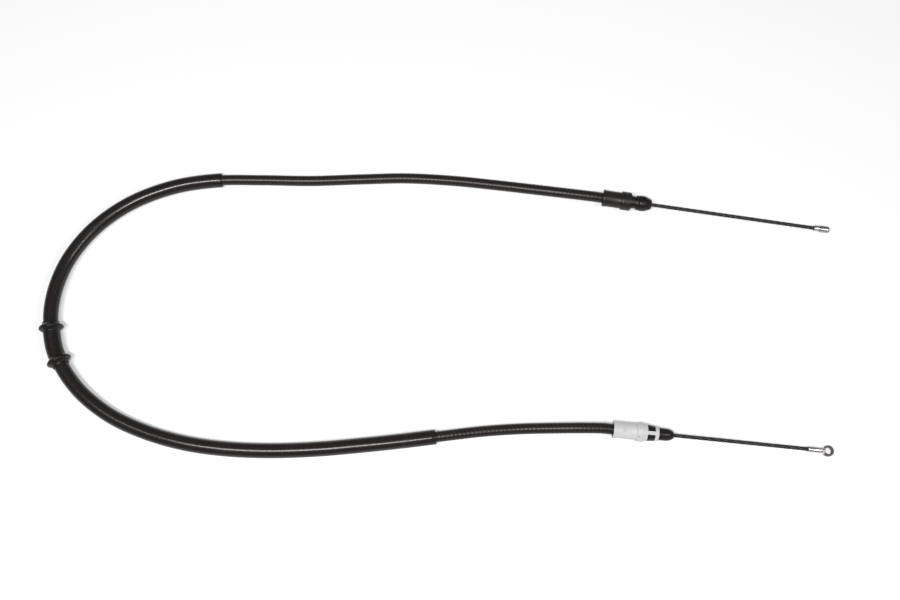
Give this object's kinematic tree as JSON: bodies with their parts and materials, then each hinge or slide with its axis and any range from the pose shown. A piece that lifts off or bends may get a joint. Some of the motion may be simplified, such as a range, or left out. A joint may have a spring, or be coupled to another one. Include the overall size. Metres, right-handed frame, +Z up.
{
  "type": "parking brake cable",
  "caption": "Parking brake cable: a steel wire with a barrel nipple and an eye slides in a long flexible casing between two moulded fittings.",
  "frame": {"origin": "bottom centre of the whole cable as it lies on a flat floor in a loose U", "axes": "+X towards the open side of the U, where the nipple and the eye are; +Y towards the side with the black front fitting; +Z up"},
  "size_m": [0.7189, 0.2658, 0.0217],
  "materials": {
    "ribbed_plastic": "black extruded plastic with fine rings, satin",
    "sleeve_rubber": "smooth black hose with a soft shine",
    "boot_rubber": "black moulded rubber, satin",
    "black_plastic": "black moulded plastic, satin",
    "grey_plastic": "light grey moulded plastic, satin",
    "pale_nylon": "natural nylon",
    "coated_rope": "stranded steel rope under a thin black coat",
    "plain_steel": "plain steel",
    "zinc_plate": "bright zinc plate"
  },
  "bodies": {
    "casing": {"casing_liner": "pale_nylon", "casing_coil": "plain_steel", "casing_jacket": "ribbed_plastic", "protective_sleeve": "sleeve_rubber", "guide_bush": "boot_rubber", "inner_wire_middle": "coated_rope", "front_housing": "black_plastic", "front_ferrule": "plain_steel", "front_wire_guide": "pale_nylon", "front_boot": "boot_rubber", "rear_housing": "grey_plastic", "rear_ferrule": "plain_steel", "rear_wire_guide": "pale_nylon", "rear_boot": "boot_rubber"},
    "front_wire": {"inner_wire_front": "coated_rope", "barrel_nipple": "zinc_plate"},
    "rear_wire": {"inner_wire_rear": "coated_rope", "eye_terminal": "zinc_plate"}
  },
  "joints": [
    {"name": "front_wire_slide", "type": "slide", "parent": "casing", "child": "front_wire", "axis": [0.9897, -0.1409, -0.0262], "range_m": [0, 0.025]},
    {"name": "rear_wire_slide", "type": "slide", "parent": "casing", "child": "rear_wire", "axis": [0.9947, -0.0958, -0.0372], "range_m": [-0.025, 0]}
  ],
  "couplings": [
    {"joint": "rear_wire_slide", "follows": "front_wire_slide", "ratio": -1}
  ]
}
